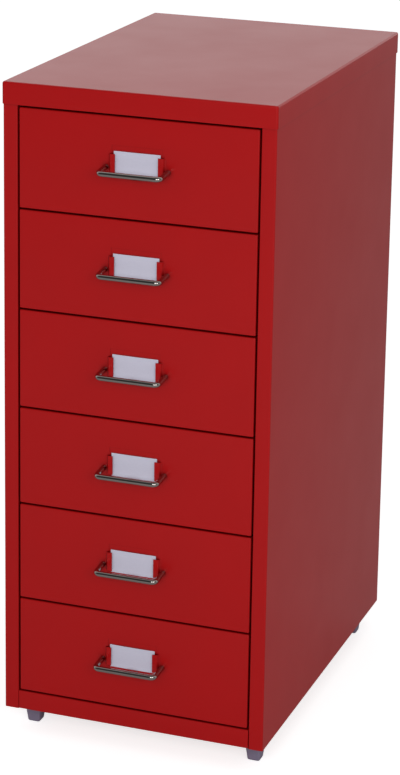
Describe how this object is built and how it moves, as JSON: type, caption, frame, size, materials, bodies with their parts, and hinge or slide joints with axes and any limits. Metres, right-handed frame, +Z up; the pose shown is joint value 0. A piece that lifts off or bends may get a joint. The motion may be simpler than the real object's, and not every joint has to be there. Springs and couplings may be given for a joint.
{
  "type": "drawer cabinet",
  "caption": "Narrow painted steel cabinet with sliding drawers, wire pull handles, label holders and small tapered feet; for papers, tools and small parts.",
  "frame": {"origin": "on the floor, under the middle of the outline seen from above, handles included", "axes": "+Z up, +X to the right seen from the front, drawers face and open towards -Y"},
  "size_m": [0.28, 0.4334, 0.68],
  "materials": {
    "red_paint": "semi-gloss red powder coat",
    "chromed_wire": "bright chrome plate",
    "zinc_steel": "bright zinc plate",
    "rivet_aluminium": "satin",
    "grey_plastic": "moulded grey plastic, fine grain",
    "card": "plain white card"
  },
  "bodies": {
    "cabinet": {"top_panel": "red_paint", "left_side_panel": "red_paint", "right_side_panel": "red_paint", "back_panel": "red_paint", "base_panel": "red_paint", "back_rivets": "rivet_aluminium", "foot_front_left": "grey_plastic", "foot_front_right": "grey_plastic", "foot_back_left": "grey_plastic", "foot_back_right": "grey_plastic", "foot_screws": "zinc_steel", "foot_nuts": "zinc_steel", "runner_left_1": "red_paint", "runner_right_1": "red_paint", "runner_left_2": "red_paint", "runner_right_2": "red_paint", "runner_left_3": "red_paint", "runner_right_3": "red_paint", "runner_left_4": "red_paint", "runner_right_4": "red_paint", "runner_left_5": "red_paint", "runner_right_5": "red_paint", "runner_left_6": "red_paint", "runner_right_6": "red_paint"},
    "drawer_1": {"drawer_front_1": "red_paint", "drawer_tray_1": "red_paint", "drawer_back_1": "red_paint", "handle_1": "chromed_wire", "handle_screws_1": "zinc_steel", "label_card_1": "card"},
    "drawer_2": {"drawer_front_2": "red_paint", "drawer_tray_2": "red_paint", "drawer_back_2": "red_paint", "handle_2": "chromed_wire", "handle_screws_2": "zinc_steel", "label_card_2": "card"},
    "drawer_3": {"drawer_front_3": "red_paint", "drawer_tray_3": "red_paint", "drawer_back_3": "red_paint", "handle_3": "chromed_wire", "handle_screws_3": "zinc_steel", "label_card_3": "card"},
    "drawer_4": {"drawer_front_4": "red_paint", "drawer_tray_4": "red_paint", "drawer_back_4": "red_paint", "handle_4": "chromed_wire", "handle_screws_4": "zinc_steel", "label_card_4": "card"},
    "drawer_5": {"drawer_front_5": "red_paint", "drawer_tray_5": "red_paint", "drawer_back_5": "red_paint", "handle_5": "chromed_wire", "handle_screws_5": "zinc_steel", "label_card_5": "card"},
    "drawer_6": {"drawer_front_6": "red_paint", "drawer_tray_6": "red_paint", "drawer_back_6": "red_paint", "handle_6": "chromed_wire", "handle_screws_6": "zinc_steel", "label_card_6": "card"}
  },
  "joints": [
    {"name": "drawer_1_slide", "type": "slide", "parent": "cabinet", "child": "drawer_1", "axis": [0, -1, 0], "range_m": [0, 0.325]},
    {"name": "drawer_2_slide", "type": "slide", "parent": "cabinet", "child": "drawer_2", "axis": [0, -1, 0], "range_m": [0, 0.325]},
    {"name": "drawer_3_slide", "type": "slide", "parent": "cabinet", "child": "drawer_3", "axis": [0, -1, 0], "range_m": [0, 0.325]},
    {"name": "drawer_4_slide", "type": "slide", "parent": "cabinet", "child": "drawer_4", "axis": [0, -1, 0], "range_m": [0, 0.325]},
    {"name": "drawer_5_slide", "type": "slide", "parent": "cabinet", "child": "drawer_5", "axis": [0, -1, 0], "range_m": [0, 0.325]},
    {"name": "drawer_6_slide", "type": "slide", "parent": "cabinet", "child": "drawer_6", "axis": [0, -1, 0], "range_m": [0, 0.325]}
  ]
}
